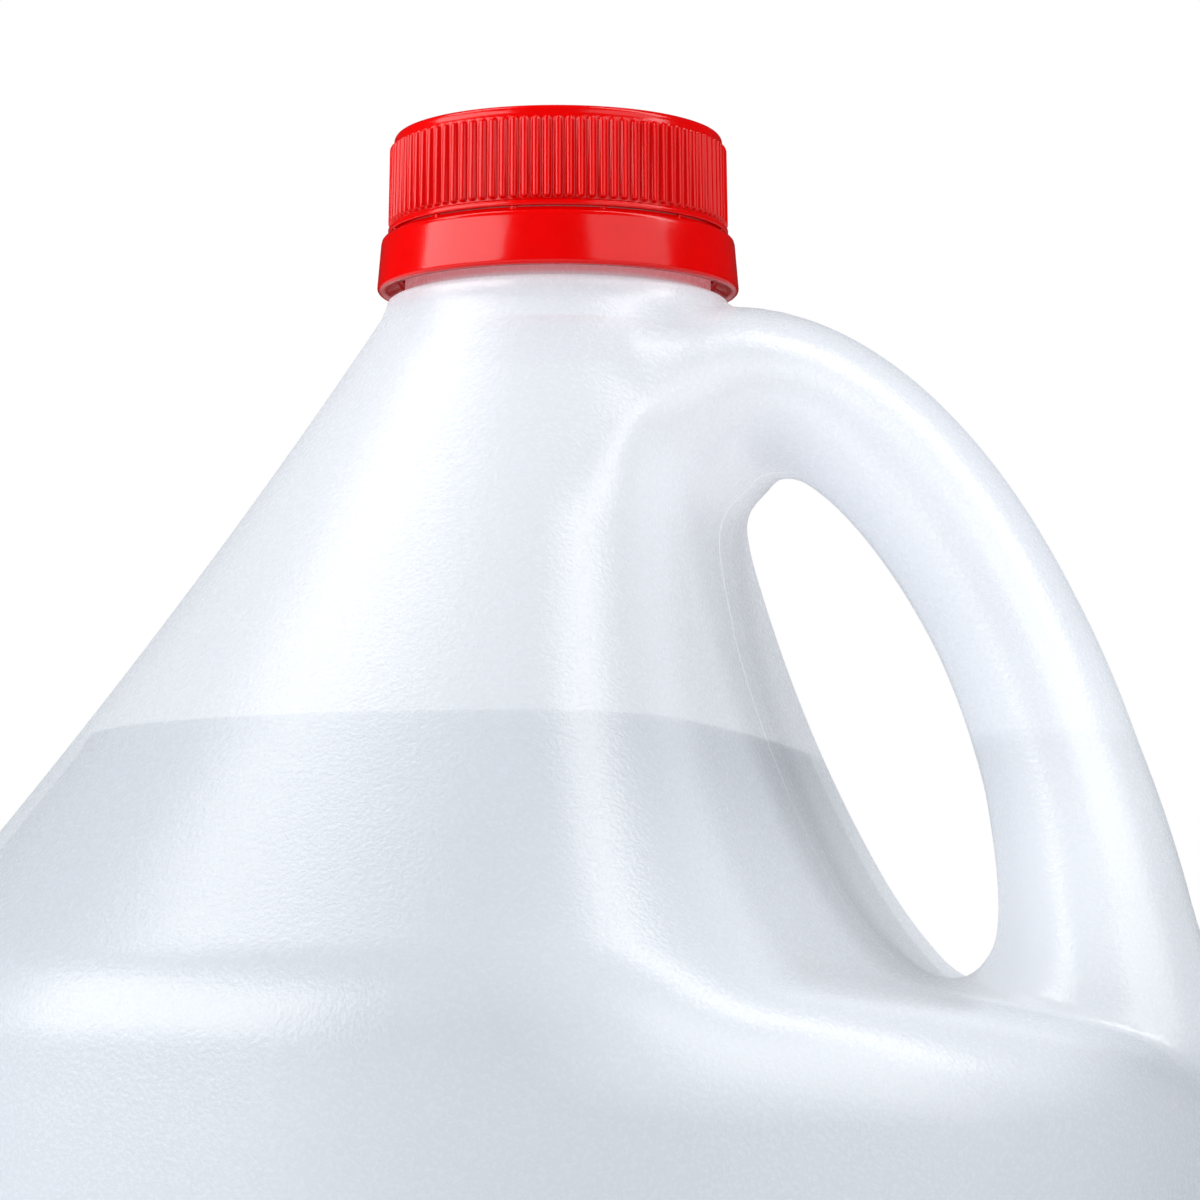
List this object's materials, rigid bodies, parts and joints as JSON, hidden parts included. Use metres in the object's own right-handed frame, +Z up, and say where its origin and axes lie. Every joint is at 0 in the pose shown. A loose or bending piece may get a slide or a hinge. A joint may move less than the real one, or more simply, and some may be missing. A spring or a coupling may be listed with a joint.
{
  "type": "rubbing alcohol jug",
  "caption": "Round blow-moulded one-gallon jug of clear liquid with a hollow loop handle, ribbed screw cap and tamper band.",
  "frame": {"origin": "centre of the base on the standing plane", "axes": "+Z up along the neck, +X towards the handle"},
  "size_m": [0.162, 0.162, 0.281],
  "materials": {
    "natural_polyethylene": "translucent satin with a fine pebble",
    "red_polypropylene": "gloss",
    "white_foam": "matte",
    "clear_liquid": "clear"
  },
  "bodies": {
    "jug": {"jug": "natural_polyethylene", "tamper_band": "red_polypropylene", "liquid": "clear_liquid"},
    "liner": {"liner": "white_foam"},
    "cap": {"screw_cap": "red_polypropylene"}
  },
  "joints": [
    {"name": "cap_rise", "type": "slide", "parent": "jug", "child": "liner", "axis": [0, 0, 1], "range_m": [0, 0.0127]},
    {"name": "cap_turn", "type": "hinge", "parent": "liner", "child": "cap", "pos_m": [0, 0, 0.2745], "axis": [0, 0, 1], "range_deg": [0, 1080]}
  ],
  "couplings": [
    {"joint": "cap_rise", "follows": "cap_turn", "m_per_rad": 0.00067323}
  ]
}
